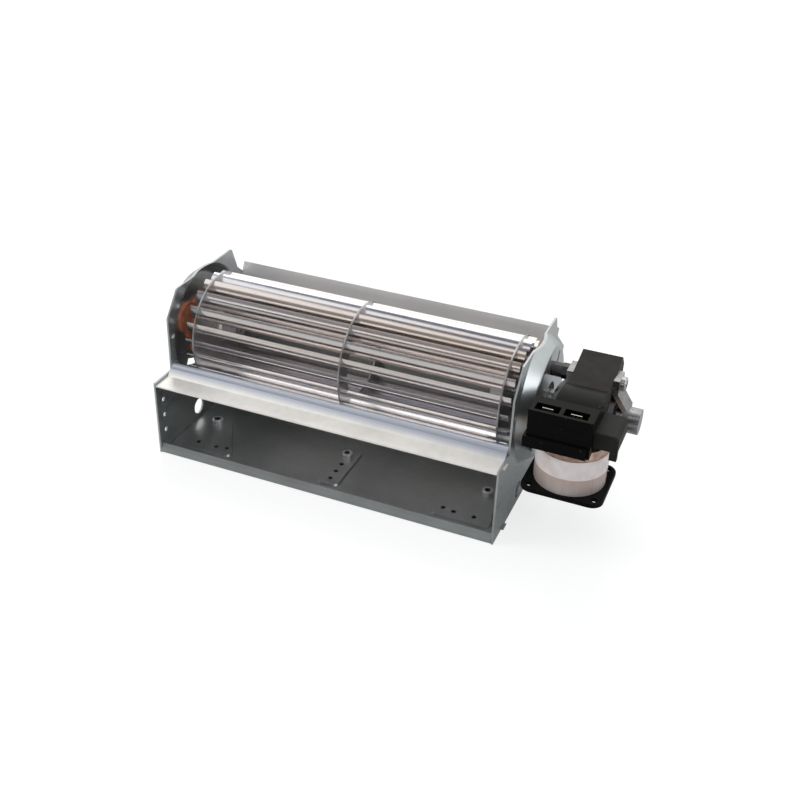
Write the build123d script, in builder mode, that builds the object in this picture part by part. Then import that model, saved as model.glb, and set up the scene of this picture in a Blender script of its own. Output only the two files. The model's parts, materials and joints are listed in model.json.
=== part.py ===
from build123d import *
import math
import os

os.makedirs("parts", exist_ok=True)

# The fan stands on its floor sheet. X runs along the impeller towards the motor,
# Y runs from the air outlet to the rear, Z is up, and the origin lies on the
# underside of the floor, below the middle of the impeller. Sizes are in millimetres.

# Housing
axis_height = 54.5
sheet = 0.8
plate = 1.0
side_gap = 0.2
front_y = -54.0
outlet_height = 42.0
floor_end_y = 4.0

# Front lip of the floor
lip_crease = 2.9
lip_height = 5.2
lip_lean = 1.9

# Scroll, as radii from the impeller axis to the outside of the sheet
scroll_mid_radius = 45.3
scroll_mid_angle = -45.0
scroll_top_radius = 34.8
scroll_top_angle = 5.0
flare_y = 43.0
flare_z = 73.3

# Tongue plate
tongue_flat = 11.5
tongue_step_y = -38.6
bead_radius = 2.5
bead_y = -36.2
bead_rise = 2.0

# Tabs of the sheets, bent through slots in the side plates
tab_width = 5.0
tab_reach = 1.2
tab_gap = 0.2
floor_tab_y = -38.4
tongue_tab_y = -46.0
scroll_tab_share = 0.3

# Side plates
step_over = 1.2
step_y = -38.0
throat_y = -37.4
chamfer_z = 72.9
chamfer_y = -26.5
top_z = 86.2
top_rear_y = 29.5
shoulder_y = 35.0
rear_z = 58.2
rear_y = 53.0
back_z = 32.0
back_y = 52.0
heel_y = 24.0
edge_round = 2.0
dish_base_radius = 33.0
dish_flat_radius = 27.5
dish_depth = 7.0
dish_bend = 2.0
front_hole_y = -48.0
front_hole_low = 11.6
front_hole_pitch = 9.4
front_hole_count = 3
front_hole_radius = 1.25
rim_hole_radius = 1.4
rim_hole_circle = 34.8
rim_hole_angles = (141.0, 168.0)
drain_y = -15.0
drain_z = 7.6
drain_radius = 4.5

# Raised pads and nuts in the floor
pad_height = 1.0
pad_round = 4.5
pad_taper_angle = 30.0
strip_width = 13.0
strip_rear = -9.0
strip_front = -45.0
strip_hole_rear = -25.2
strip_hole_pitch = 7.0
strip_hole_count = 3
pad_hole_radius = 1.3
nut_inset = 14.0
nut_y = -18.1
nut_radius = 3.0
nut_height = 3.0
nut_spigot_radius = 2.4
nut_thread_radius = 1.65
nut_chamfer = 0.4
pad_apex_y = -8.5
pad_base_y = -45.0
pad_outer_inset = 3.5
pad_inner_inset = 38.5
pad_hole_places = ((14.0, -39.0), (25.0, -39.0), (31.0, -38.0))

# Impeller
impeller_radius = 30.0
disc = 0.8
disc_inset = 5.0
ring_inner_radius = 20.0
blade_count = 20
blade_length = 180.0
blade_end_gap = 4.0
blade_thickness = 0.5
blade_rim = 0.8
blade_depth = 6.2
blade_sweep_angle = 12.0
blade_sag = 1.3
blade_phase_angle = 10.0
slot_gap = 0.05
hub_flange_radius = 9.0
hub_flange = 1.6
hub_radius = 5.5
hub_cone = 1.0
hub_length = 12.0

# Shafts and bearings
shaft_radius = 2.5
running_gap = 0.03
bush_radius = 5.0
bush_length = 9.0
stub_overrun = 1.5
shaft_chamfer = 0.4
shaft_end_gap = 0.5

# Silicone holder of the left bearing
holder_hole_radius = 10.5
holder_lip_reach = 2.5
holder_lip = 2.0
holder_hub_radius = 8.0
holder_inset = 0.5
lobe_radius = 8.6
lobe_circle = 12.0
lobe_angles = (30.0, 150.0, 270.0)
window_inner = 22.6
window_outer = 26.4
window_span_angle = 44.0
window_angle = 262.0

# Right dish
motor_hole_radius = 10.0
key_slot_angle = 60.0
key_slot_inner = 17.5
key_slot_outer = 26.0
key_slot_width = 2.6
key_slot_count = 4

# Long motor screws
screw_radius = 2.0
screw_gap = 0.1
screw_clear = 6.4
screw_angles = (90.0, -90.0)
screw_head_radius = 3.6
screw_head = 2.6
screw_head_chamfer = 0.7
screw_overrun = 1.0
recess_width = 1.1
recess_span = 4.4
recess_depth = 1.4
nut_across = 7.0
nut_thickness = 3.2
spacer_length = 5.4
spacer_radius = 3.6

# Bearing bridges
foot = 3.0
foot_half_height = 3.6
bridge_half_width = 5.5
bridge_dish = 6.0
bridge_arm = 2.8
bridge_hub_radius = 6.5
bridge_hub_wall = 2.6

# Laminations
stack_length = 20.0
stack_height = 60.0
leg_height = 9.5
stack_front = -37.5
pole_front = -14.2
stack_rear = 18.0
leg_end_height = 7.5
leg_slope_angle = 12.4
crest_y = 12.7
rear_upper_chamfer = 6.0
rear_lower_chamfer = 10.0
front_round = 3.0
bore_radius = 12.6
air_gap = 0.3
notch_radius = 4.0
notch_wall = 1.2
limb_depth = 11.0

# Rotor
end_ring_inset = 1.1
end_ring_inner = 8.8
end_ring_length = 2.2

# Shading rings
ring_wire = 1.0
ring_circle = 14.9
ring_near_angle = 30.0
ring_far_angle = 62.0

# Bobbin and coil
coil_y = -31.8
winding_radius = 17.0
wrap = 0.3
label_film = 0.15
label_low = 9.0
label_high = 19.2
label_span_angle = 210.0
label_middle_angle = -90.0
flange = 2.0
flange_width = 40.0
flange_front = -50.6
flange_rear = -14.5
flange_round = 6.0
flange_hole_inset = 4.2
flange_hole_radius = 1.6
flange_edge = 0.6
tube_wall = 1.2
tube_gap = 0.2
winding_height = 24.0

# Head of the bobbin with its two terminal pockets
head_overhang = 8.6
head_front = -51.0
head_top = 24.9
head_band_reach = 1.3
head_band_height = 5.6
pocket_gap = 2.0
pocket_depth_y = 6.0
pocket_wall = 1.7
pocket_bottom = 11.5
cover_wall = 1.3
cover_rear = -15.0
cover_sag = 1.8
cheek = 1.2
cheek_rear = -24.0
cheek_low = 8.0
terminal_width = 6.3
terminal_thickness = 0.8
terminal_top = 22.0

# Guard at the outer side of the head
guard_length = 11.4
guard_front = -45.5
guard_rear = -25.0
guard_low = 9.0
guard_top = 17.0
guard_wall = 1.4
guard_round = 2.5
guard_leg_width = 3.5
guard_leg_depth = 2.5
guard_leg_length = 4.5

# Places worked out from the sizes above
half_width = blade_length / 2 + blade_end_gap
plate_outer = half_width + plate
nut_x = half_width - nut_inset
step_z = outlet_height + step_over
dish_face = plate_outer + dish_depth
bridge_start = dish_face + spacer_length + nut_thickness
stack_start = bridge_start + foot
stack_end = stack_start + stack_length
stack_middle = stack_start + stack_length / 2
head_left = stack_start - head_overhang
head_right = stack_end + tube_gap
disc_x = blade_length / 2 - disc_inset
half_stack = stack_height / 2
leg_inner = half_stack - leg_height
screw_circle = bore_radius + screw_clear
end_ring_outer = bore_radius - end_ring_inset
blade_outer_radius = impeller_radius - blade_rim
blade_inner_radius = blade_outer_radius - blade_depth
bore_of_bush = shaft_radius + running_gap
coil_low = axis_height - leg_inner + flange
coil_top = coil_low + winding_height
coil_centre = (stack_middle, coil_y)
upper_leg_inner = coil_top + flange + tube_gap - axis_height


def at(radius, angle):
    """Point in Y and Z at a radius and an angle from the impeller axis."""
    turn = math.radians(angle)
    return (radius * math.cos(turn), axis_height + radius * math.sin(turn))


def across(x):
    """Plane square to the impeller axis, with Y and Z as its own directions."""
    return Plane.YZ.offset(x)


def turned(x=0.0):
    """Plane through the impeller axis, for profiles drawn as X and radius."""
    return Plane(origin=(x, 0, axis_height), x_dir=(1, 0, 0), z_dir=(0, -1, 0))


def save(builder, name):
    """Label a finished piece and write it to its own file."""
    builder.part.label = name
    export_step(builder.part, f"parts/{name}.step")


spin_axis = Axis((0, 0, axis_height), (1, 0, 0))


# Outside of the floor and scroll sheet, front to back, in Y and Z
with BuildLine() as scroll_line:
    FilletPolyline(
        (front_y + lip_lean, lip_height),
        (front_y, lip_crease),
        (front_y, 0),
        (floor_end_y, 0),
        radius=sheet,
    )
    low_arc = TangentArc((floor_end_y, 0), at(scroll_mid_radius, scroll_mid_angle), tangent=(1, 0))
    high_arc = TangentArc(
        low_arc @ 1, at(scroll_top_radius, scroll_top_angle), tangent=low_arc % 1
    )
    Line(high_arc @ 1, (flare_y, flare_z))
scroll_tab_point = high_arc @ scroll_tab_share


def scroll_section():
    """Section of the sheet that makes the lip, the floor, the scroll and its flare."""
    with BuildSketch() as section:
        with BuildLine():
            add(scroll_line.line)
            offset(amount=sheet, side=Side.LEFT)
        make_face()
    return section.sketch


def tongue_section():
    """Section of the tongue sheet: flat top, slanted step and rolled bead."""
    low = outlet_height - sheet
    groove_z = outlet_height + bead_rise
    with BuildSketch() as section:
        with BuildLine():
            Polyline(
                (front_y, low),
                (front_y + tongue_flat, low),
                (tongue_step_y, groove_z),
            )
            offset(amount=sheet, side=Side.LEFT)
        make_face()
        with Locations((bead_y, groove_z)):
            Circle(bead_radius)
            Circle(bead_radius - sheet, mode=Mode.SUBTRACT)
    return section.sketch


def tab_section(section, y, z, grow=0.0):
    """Piece of a sheet's section, one tab wide, about a point of the sheet."""
    with BuildSketch() as tab:
        add(section)
        with Locations((y, z)):
            Rectangle(tab_width, tab_width, mode=Mode.INTERSECT)
        if grow:
            offset(amount=grow, kind=Kind.INTERSECTION)
    return tab.sketch


scroll_profile = scroll_section()
tongue_profile = tongue_section()
scroll_tabs = ((floor_tab_y, 0.0), (scroll_tab_point.X, scroll_tab_point.Y))
tongue_tabs = ((tongue_tab_y, outlet_height - sheet / 2),)


def tabs_of(section, points, grow=0.0):
    """All tab sections of one sheet."""
    return [tab_section(section, y, z, grow) for y, z in points]


def sheet_between_plates(section, points):
    """Extrude a sheet's section between the side plates and add its end tabs."""
    tabs = tabs_of(section, points)
    with BuildPart() as body:
        with BuildSketch(across(0)):
            add(section)
        extrude(amount=half_width - side_gap, both=True)
        for tab in tabs:
            with BuildSketch(across(0)):
                add(tab)
            extrude(amount=plate_outer + tab_reach, both=True)
    return body


def pad_outline(side, shrink=0.0):
    """Rounded outline of a floor pad: a strip in the middle, a tapered one at a side."""
    with BuildSketch() as outline:
        if side == 0:
            with Locations((0, (strip_rear + strip_front) / 2)):
                RectangleRounded(strip_width, strip_rear - strip_front, pad_round)
        else:
            corners = [
                (side * (nut_x - pad_round), pad_apex_y),
                (side * (nut_x + pad_round), pad_apex_y),
                (side * (half_width - pad_outer_inset), pad_base_y),
                (side * (half_width - pad_inner_inset), pad_base_y),
            ]
            Polygon(*corners[::-side], align=None)
            fillet(outline.vertices(), pad_round - 1)
        if shrink:
            offset(amount=-shrink)
    return outline.sketch


pads = [(pad_outline(side), pad_outline(side, shrink=sheet)) for side in (-1, 0, 1)]
scroll_sheet = sheet_between_plates(scroll_profile, scroll_tabs)
with BuildPart() as scroll_wall:
    add(scroll_sheet.part)
    for raised, hollow in pads:
        with BuildSketch(Plane.XY.offset(sheet)):
            add(raised)
        extrude(amount=pad_height, taper=pad_taper_angle)
        with BuildSketch(Plane.XY):
            add(hollow)
        extrude(amount=pad_height, taper=pad_taper_angle, mode=Mode.SUBTRACT)
    pad_holes = [(side * (half_width - x), y) for side in (-1, 1) for x, y in pad_hole_places]
    pad_holes += [(0, strip_hole_rear - strip_hole_pitch * i) for i in range(strip_hole_count)]
    with BuildSketch(Plane.XY):
        with Locations(*pad_holes):
            Circle(pad_hole_radius)
        with Locations(*[(side * nut_x, nut_y) for side in (-1, 0, 1)]):
            Circle(nut_spigot_radius)
    extrude(amount=lip_height, mode=Mode.SUBTRACT)
save(scroll_wall, "scroll_wall")

tongue_plate = sheet_between_plates(tongue_profile, tongue_tabs)
save(tongue_plate, "tongue_plate")

for side, name in ((-1, "left"), (0, "centre"), (1, "right")):
    with BuildPart() as floor_nut:
        with BuildSketch(Plane.XY.offset(sheet + pad_height)):
            with Locations((side * nut_x, nut_y)):
                Circle(nut_radius)
        extrude(amount=nut_height)
        chamfer(floor_nut.edges().group_by(Axis.Z)[-1], nut_chamfer)
        with BuildSketch(Plane.XY.offset(pad_height)):
            with Locations((side * nut_x, nut_y)):
                Circle(nut_spigot_radius)
        extrude(amount=sheet)
        with BuildSketch(Plane.XY):
            with Locations((side * nut_x, nut_y)):
                Circle(nut_thread_radius)
        extrude(amount=sheet + pad_height + nut_height, mode=Mode.SUBTRACT)
    save(floor_nut, f"floor_nut_{name}")


def plate_outline():
    """Outline of a side plate, from the front foot round to the heel."""
    with BuildSketch() as outline:
        with BuildLine():
            Polyline(
                (front_y, 0),
                (front_y, step_z),
                (step_y, step_z),
                (throat_y, chamfer_z),
                (chamfer_y, top_z),
                (top_rear_y, top_z),
                (shoulder_y, chamfer_z),
                (rear_y, rear_z),
                (back_y, back_z),
                (heel_y, 0),
                close=True,
            )
        make_face()
    return outline.sketch


plate_profile = plate_outline()
front_holes = [
    (front_hole_y, front_hole_low + i * front_hole_pitch) for i in range(front_hole_count)
]
plate_slots = tabs_of(scroll_profile, scroll_tabs, tab_gap)
plate_slots += tabs_of(tongue_profile, tongue_tabs, tab_gap)


def side_plate(centre_radius):
    """Right-hand side plate with its dish, small holes and tab slots."""
    with BuildPart() as body:
        with BuildSketch(across(half_width)):
            add(plate_profile)
        extrude(amount=plate)
        fillet(body.edges().filter_by(Axis.X).group_by(Axis.Z)[-1], edge_round)
        with BuildSketch(across(half_width)):
            with Locations((0, axis_height)):
                Circle(dish_base_radius)
        extrude(amount=plate, mode=Mode.SUBTRACT)
        with BuildSketch(turned()):
            with BuildLine():
                FilletPolyline(
                    (half_width, dish_base_radius + 2 * dish_bend),
                    (half_width, dish_base_radius),
                    (dish_face - plate, dish_flat_radius),
                    (dish_face - plate, centre_radius),
                    radius=dish_bend,
                )
                offset(amount=plate, side=Side.LEFT)
            make_face()
        revolve(axis=spin_axis)
        with BuildSketch(across(half_width)):
            add(plate_profile)
        extrude(amount=plate + dish_depth, mode=Mode.INTERSECT)
        with BuildSketch(across(half_width)):
            with Locations(*front_holes):
                Circle(front_hole_radius)
            with Locations(*[at(rim_hole_circle, angle) for angle in rim_hole_angles]):
                Circle(rim_hole_radius)
            with Locations((drain_y, drain_z)):
                Circle(drain_radius)
            for slot in plate_slots:
                add(slot)
        extrude(amount=plate, mode=Mode.SUBTRACT)
    return body


left_plate_body = side_plate(holder_hole_radius)
with BuildPart() as left_side_plate:
    add(mirror(left_plate_body.part, about=Plane.YZ))
    with BuildSketch(across(-dish_face)):
        with BuildLine():
            first = window_angle - window_span_angle / 2
            outer = CenterArc((0, axis_height), window_outer, first, window_span_angle)
            inner = CenterArc((0, axis_height), window_inner, first, window_span_angle)
            Line(outer @ 0, inner @ 0)
            Line(outer @ 1, inner @ 1)
        make_face()
    extrude(amount=plate, mode=Mode.SUBTRACT)
save(left_side_plate, "left_side_plate")

screw_places = [at(screw_circle, angle) for angle in screw_angles]
right_plate_body = side_plate(motor_hole_radius)
with BuildPart() as right_side_plate:
    add(right_plate_body.part)
    with BuildSketch(across(dish_face - plate)):
        with Locations(*screw_places):
            Circle(screw_radius + screw_gap)
        for i in range(key_slot_count):
            angle = key_slot_angle + 360 / key_slot_count * i
            middle = at((key_slot_inner + key_slot_outer) / 2, angle)
            with Locations(middle):
                SlotOverall(key_slot_outer - key_slot_inner, key_slot_width, rotation=angle)
    extrude(amount=plate, mode=Mode.SUBTRACT)
save(right_side_plate, "right_side_plate")


def ring_about_axis(start, length, outer, inner=0.0, edge=0.0):
    """Turned ring or rod on the impeller axis, with optional chamfered rims."""
    with BuildPart() as body:
        with BuildSketch(across(start)):
            with Locations((0, axis_height)):
                Circle(outer)
                if inner:
                    Circle(inner, mode=Mode.SUBTRACT)
        extrude(amount=length)
        if edge:
            rims = body.edges().filter_by(GeomType.CIRCLE).group_by(SortBy.RADIUS)[-1]
            chamfer(rims, edge)
    return body


# Left bearing in its silicone holder, a grommet with three lobes on the inner side
bush_middle = -(dish_face - plate / 2)
holder_hub_half = bush_length / 2 - holder_inset
holder_lip_radius = holder_hole_radius + holder_lip_reach
with BuildPart() as bearing_holder:
    with BuildSketch(turned(bush_middle)):
        with BuildLine():
            Polyline(
                (-holder_hub_half, bush_radius),
                (-holder_hub_half, holder_hub_radius),
                (-plate / 2 - holder_lip, holder_hole_radius),
                (-plate / 2, holder_lip_radius),
                (-plate / 2, holder_hole_radius),
                (plate / 2, holder_hole_radius),
                (plate / 2, holder_lip_radius),
                (plate / 2 + holder_lip, holder_lip_radius),
                (plate / 2 + holder_lip, holder_hub_radius),
                (holder_hub_half, holder_hub_radius),
                (holder_hub_half, bush_radius),
                close=True,
            )
        make_face()
    revolve(axis=spin_axis)
    with BuildSketch(across(bush_middle + plate / 2)):
        with Locations(*[at(lobe_circle, angle) for angle in lobe_angles]):
            Circle(lobe_radius)
        with Locations((0, axis_height)):
            Circle(holder_hub_radius, mode=Mode.SUBTRACT)
    extrude(amount=holder_lip)
save(bearing_holder, "bearing_holder")

left_bearing = ring_about_axis(bush_middle - bush_length / 2, bush_length, bush_radius, bore_of_bush)
save(left_bearing, "left_bearing")


# Impeller
def blade_spine(number):
    """Curved middle line of one blade, from its inner edge to its outer tip."""
    tip = blade_phase_angle + 360 / blade_count * number
    return SagittaArc(
        at(blade_inner_radius, tip + blade_sweep_angle), at(blade_outer_radius, tip), blade_sag
    )


def blade_section(number, grow=0.0):
    """Section of one blade, or of its slot in a disc when it is grown."""
    with BuildSketch() as section:
        with BuildLine():
            blade_spine(number)
        trace(line_width=blade_thickness)
        if grow:
            offset(amount=grow, kind=Kind.INTERSECTION)
    return section.sketch


blade_profiles = [blade_section(number) for number in range(blade_count)]
blade_slots = [blade_section(number, slot_gap) for number in range(blade_count)]
for number in range(blade_count):
    with BuildPart() as blade:
        with BuildSketch(across(-blade_length / 2)):
            add(blade_profiles[number])
        extrude(amount=blade_length)
    save(blade, f"blade_{number + 1:02d}")


def impeller_disc(x, inner):
    """Thin disc with one slot for each blade and a hole in its middle."""
    with BuildPart() as body:
        with BuildSketch(across(x - disc / 2)):
            with Locations((0, axis_height)):
                Circle(impeller_radius)
                Circle(inner, mode=Mode.SUBTRACT)
            for slot in blade_slots:
                add(slot, mode=Mode.SUBTRACT)
        extrude(amount=disc)
    return body


def impeller_hub(side):
    """Flanged hub, seated on the inner face of an end disc."""
    with BuildPart() as body:
        with BuildSketch(turned()):
            with BuildLine():
                Polyline(
                    (disc_x + disc / 2, shaft_radius),
                    (disc_x + disc / 2, hub_radius),
                    (disc_x - disc / 2, hub_radius),
                    (disc_x - disc / 2, hub_flange_radius),
                    (disc_x - disc / 2 - hub_flange, hub_flange_radius),
                    (disc_x - disc / 2 - hub_flange, hub_radius + hub_cone),
                    (disc_x - disc / 2 - hub_flange - hub_cone, hub_radius),
                    (disc_x - hub_length, hub_radius),
                    (disc_x - hub_length, shaft_radius),
                    close=True,
                )
            make_face()
        revolve(axis=spin_axis)
        if side < 0:
            mirror(about=Plane.YZ, mode=Mode.REPLACE)
    return body


for side, name in ((-1, "left"), (1, "right")):
    save(impeller_disc(side * disc_x, hub_radius), f"{name}_end_disc")
    save(impeller_hub(side), f"{name}_hub")
save(impeller_disc(0, ring_inner_radius), "middle_ring")

stub_start = bush_middle - bush_length / 2 - stub_overrun
left_stub_shaft = ring_about_axis(
    stub_start, -(disc_x - hub_length) - stub_start, shaft_radius, edge=shaft_chamfer
)
save(left_stub_shaft, "left_stub_shaft")

bridge_hub_length = bush_length + bridge_hub_wall
outer_bush_start = stack_end + foot + bridge_dish - bridge_hub_length / 2
shaft_end = outer_bush_start + bush_length - shaft_end_gap
motor_shaft = ring_about_axis(
    disc_x - hub_length, shaft_end - (disc_x - hub_length), shaft_radius, edge=shaft_chamfer
)
save(motor_shaft, "motor_shaft")

# Rotor: a steel core with an end ring on each side
with BuildPart() as rotor:
    with BuildSketch(turned()):
        with BuildLine():
            Polyline(
                (stack_start, shaft_radius),
                (stack_start, end_ring_inner),
                (stack_start - end_ring_length, end_ring_inner),
                (stack_start - end_ring_length, end_ring_outer),
                (stack_start, end_ring_outer),
                (stack_start, bore_radius - air_gap),
                (stack_end, bore_radius - air_gap),
                (stack_end, end_ring_outer),
                (stack_end + end_ring_length, end_ring_outer),
                (stack_end + end_ring_length, end_ring_inner),
                (stack_end, end_ring_inner),
                (stack_end, shaft_radius),
                close=True,
            )
        make_face()
    revolve(axis=spin_axis)
save(rotor, "rotor")

# Stator laminations: a C frame round the rotor, closed by a limb through the coil.
# The top of its upper leg falls towards the front.
def leg_top(y):
    """Height of the upper leg's top above the impeller axis."""
    slope = math.tan(math.radians(leg_slope_angle))
    return upper_leg_inner + leg_end_height + (y - stack_front) * slope


ring_places = {
    "upper": (at(ring_circle, ring_near_angle), at(ring_circle, ring_far_angle)),
    "lower": (at(ring_circle, ring_near_angle + 180), at(ring_circle, ring_far_angle + 180)),
}
with BuildPart() as lamination_stack:
    with BuildSketch(across(stack_start)) as stack_face:
        with BuildLine():
            Polyline(
                (stack_front, axis_height + leg_top(stack_front)),
                (crest_y, axis_height + leg_top(crest_y)),
                (stack_rear, axis_height + leg_top(crest_y) - rear_upper_chamfer),
                (stack_rear, axis_height - half_stack + rear_lower_chamfer),
                (stack_rear - rear_lower_chamfer, axis_height - half_stack),
                (stack_front, axis_height - half_stack),
                (stack_front, axis_height - leg_inner),
                (pole_front, axis_height - leg_inner),
                (pole_front, axis_height + upper_leg_inner),
                (stack_front, axis_height + upper_leg_inner),
                close=True,
            )
        make_face()
        front_corners = stack_face.vertices().group_by(Axis.X)[0].sort_by(Axis.Y)
        fillet([front_corners[0], front_corners[-1]], front_round)
        with Locations((0, axis_height)):
            Circle(bore_radius, mode=Mode.SUBTRACT)
        with Locations((bore_radius + notch_wall + notch_radius, axis_height)):
            Circle(notch_radius, mode=Mode.SUBTRACT)
        with Locations(*screw_places):
            Circle(screw_radius + screw_gap, mode=Mode.SUBTRACT)
        with Locations(*ring_places["upper"], *ring_places["lower"]):
            Circle(ring_wire, mode=Mode.SUBTRACT)
    extrude(amount=stack_length)
save(lamination_stack, "lamination_stack")

with BuildPart() as core_limb:
    with BuildSketch(across(stack_start)):
        with Locations((coil_y, axis_height + (upper_leg_inner - leg_inner) / 2)):
            Rectangle(limb_depth, upper_leg_inner + leg_inner)
    extrude(amount=stack_length)
save(core_limb, "core_limb")

for name, (near, far) in ring_places.items():
    with BuildPart() as shading_ring:
        with BuildSketch(across(stack_start)):
            with Locations(near, far):
                Circle(ring_wire)
        extrude(amount=stack_length)
        run = (far[0] - near[0], far[1] - near[1])
        middle = ((near[0] + far[0]) / 2, (near[1] + far[1]) / 2)
        tilt = math.degrees(math.atan2(run[1], run[0]))
        for start in (stack_start - 2 * ring_wire, stack_end):
            with BuildSketch(across(start)):
                with Locations(middle):
                    SlotCenterToCenter(math.hypot(*run), 2 * ring_wire, rotation=tilt)
            extrude(amount=2 * ring_wire)
    save(shading_ring, f"shading_ring_{name}")


# Bearing bridges: a dished strap with a hub in its middle and a foot at each end
def bridge_outline():
    """Outline of a bridge seen from the side, as X from its foot and height."""
    reach = screw_circle + foot_half_height
    knee = screw_circle - foot_half_height
    with BuildSketch() as outline:
        with BuildLine():
            Polyline(
                (0, reach),
                (foot, reach),
                (foot, knee),
                (foot + bridge_dish, bridge_hub_radius),
                (foot + bridge_dish, -bridge_hub_radius),
                (foot, -knee),
                (foot, -reach),
                (0, -reach),
                (0, -knee),
                (bridge_dish - bridge_arm + foot, -bridge_hub_radius),
                (bridge_dish - bridge_arm + foot, bridge_hub_radius),
                (0, knee),
                close=True,
            )
        make_face()
    return outline.sketch


bridge_profile = bridge_outline()


def bearing_bridge(start, direction, closed):
    """Bridge standing on a stack face, pointing away from it."""
    side_plane = Plane(
        origin=(start, 0, axis_height), x_dir=(direction, 0, 0), z_dir=(0, -direction, 0)
    )
    hub_start = foot + bridge_dish - bridge_hub_length / 2
    bore_length = bush_length if closed else bridge_hub_length
    with BuildPart() as body:
        with BuildSketch(side_plane):
            add(bridge_profile)
        extrude(amount=bridge_half_width, both=True)
        hub_plane = Plane(
            origin=(start, 0, axis_height), x_dir=(0, 1, 0), z_dir=(direction, 0, 0)
        )
        with BuildSketch(hub_plane.offset(hub_start)):
            Circle(bridge_hub_radius)
        extrude(amount=bridge_hub_length)
        with BuildSketch(hub_plane.offset(hub_start)):
            Circle(bush_radius)
        extrude(amount=bore_length, mode=Mode.SUBTRACT)
        with BuildSketch(hub_plane):
            with Locations((0, screw_circle), (0, -screw_circle)):
                Circle(screw_radius + screw_gap)
        extrude(amount=foot, mode=Mode.SUBTRACT)
    return body


inner_bearing_bridge = bearing_bridge(stack_start, -1, closed=False)
save(inner_bearing_bridge, "inner_bearing_bridge")
outer_bearing_bridge = bearing_bridge(stack_end, 1, closed=True)
save(outer_bearing_bridge, "outer_bearing_bridge")

hub_half = bridge_hub_length / 2
inner_bush_end = stack_start - foot - bridge_dish + hub_half
inner_motor_bearing = ring_about_axis(
    inner_bush_end - bush_length, bush_length, bush_radius, bore_of_bush
)
save(inner_motor_bearing, "inner_motor_bearing")
outer_motor_bearing = ring_about_axis(outer_bush_start, bush_length, bush_radius, bore_of_bush)
save(outer_motor_bearing, "outer_motor_bearing")

# Long screws through the motor, with a nut on the motor and a nut inside the dish
screw_tip = dish_face - plate - nut_thickness - screw_overrun
shank_end = stack_end + foot
nut_starts = {
    "motor": bridge_start - nut_thickness,
    "dish": dish_face - plate - nut_thickness,
}
for name, place in zip(("upper", "lower"), screw_places):
    with BuildPart() as motor_screw:
        with BuildSketch(across(screw_tip)):
            with Locations(place):
                Circle(screw_radius)
        extrude(amount=shank_end - screw_tip)
        with BuildSketch(across(shank_end)):
            with Locations(place):
                Circle(screw_head_radius)
        extrude(amount=screw_head)
        head_rim = motor_screw.edges().filter_by(GeomType.CIRCLE).group_by(Axis.X)[-1]
        chamfer(head_rim, screw_head_chamfer)
        with BuildSketch(across(shank_end + screw_head)):
            with Locations(place):
                Rectangle(recess_width, recess_span)
                Rectangle(recess_span, recess_width)
        extrude(amount=-recess_depth, mode=Mode.SUBTRACT)
    save(motor_screw, f"motor_screw_{name}")
    for kind, start in nut_starts.items():
        with BuildPart() as nut:
            with BuildSketch(across(start)):
                with Locations(place):
                    RegularPolygon(nut_across / 2, 6, major_radius=False)
                    Circle(screw_radius, mode=Mode.SUBTRACT)
            extrude(amount=nut_thickness)
        save(nut, f"{kind}_nut_{name}")
    with BuildPart() as spacer:
        with BuildSketch(across(dish_face)):
            with Locations(place):
                Circle(spacer_radius)
                Circle(screw_radius + screw_gap, mode=Mode.SUBTRACT)
        extrude(amount=spacer_length)
    save(spacer, f"spacer_{name}")

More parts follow.
